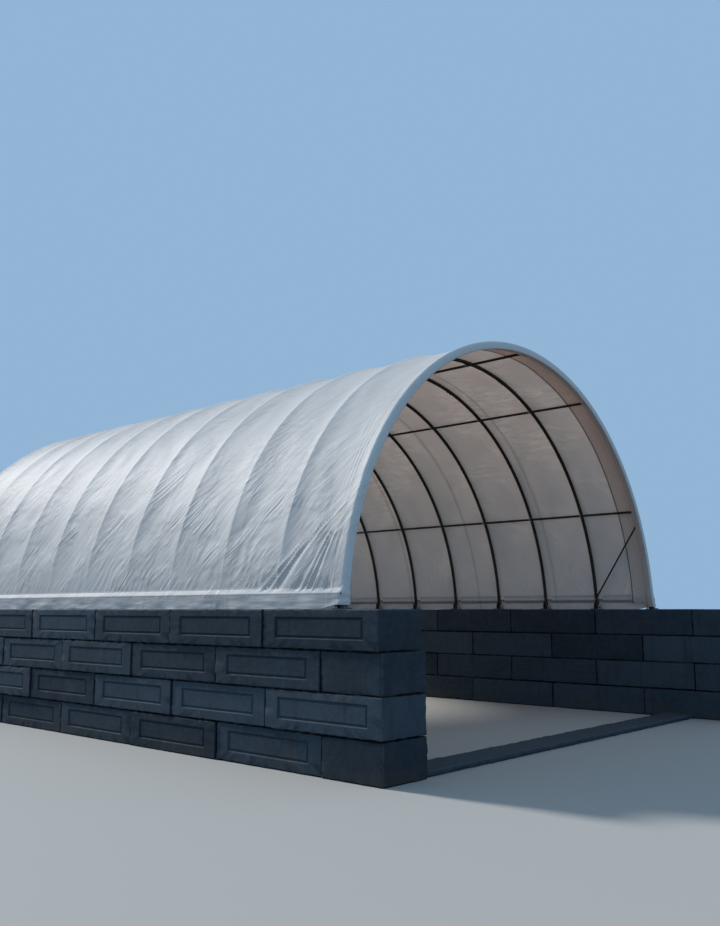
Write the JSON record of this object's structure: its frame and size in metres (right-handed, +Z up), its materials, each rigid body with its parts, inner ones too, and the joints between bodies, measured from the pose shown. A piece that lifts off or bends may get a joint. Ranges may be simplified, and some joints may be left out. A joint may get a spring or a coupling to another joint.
{
  "type": "fabric storage shelter",
  "caption": "Open-ended round-arch storage shelter: white fabric cover on steel tube hoops, standing on two walls of stacked precast concrete blocks.",
  "frame": {"origin": "on the floor, in the middle of the footprint", "axes": "+Z up; +Y along the shelter, from the open front at -Y to the open rear; +X towards the right wall as seen from the front"},
  "size_m": [8.98, 13.713, 5.8574],
  "materials": {
    "concrete": "rough precast concrete, weathered",
    "floor_concrete": "floated concrete, dusty",
    "tube_steel": "dull galvanised",
    "bracket_steel": "dull galvanised",
    "winch_steel": "zinc plated",
    "cover_fabric": "woven coated polyethylene, slightly glossy"
  },
  "bodies": {
    "root": {"left_wall_course_1": "concrete", "left_wall_course_2": "concrete", "left_wall_course_3": "concrete", "left_wall_course_4": "concrete", "right_wall_course_1": "concrete", "right_wall_course_2": "concrete", "right_wall_course_3": "concrete", "right_wall_course_4": "concrete", "front_threshold": "floor_concrete", "hoop_01": "tube_steel", "hoop_02": "tube_steel", "hoop_03": "tube_steel", "hoop_04": "tube_steel", "hoop_05": "tube_steel", "hoop_06": "tube_steel", "hoop_07": "tube_steel", "hoop_08": "tube_steel", "hoop_09": "tube_steel", "hoop_10": "tube_steel", "hoop_11": "tube_steel", "right_lower_purlin": "tube_steel", "right_upper_purlin": "tube_steel", "ridge_purlin": "tube_steel", "left_upper_purlin": "tube_steel", "left_lower_purlin": "tube_steel", "front_left_brace": "tube_steel", "front_right_brace": "tube_steel", "rear_left_brace": "tube_steel", "rear_right_brace": "tube_steel", "left_foot_brackets": "bracket_steel", "left_winches": "winch_steel", "left_edge_pipe": "tube_steel", "left_hem": "cover_fabric", "right_foot_brackets": "bracket_steel", "right_winches": "winch_steel", "right_edge_pipe": "tube_steel", "right_hem": "cover_fabric", "cover": "cover_fabric", "front_end_band": "cover_fabric", "rear_end_band": "cover_fabric"}
  },
  "joints": []
}
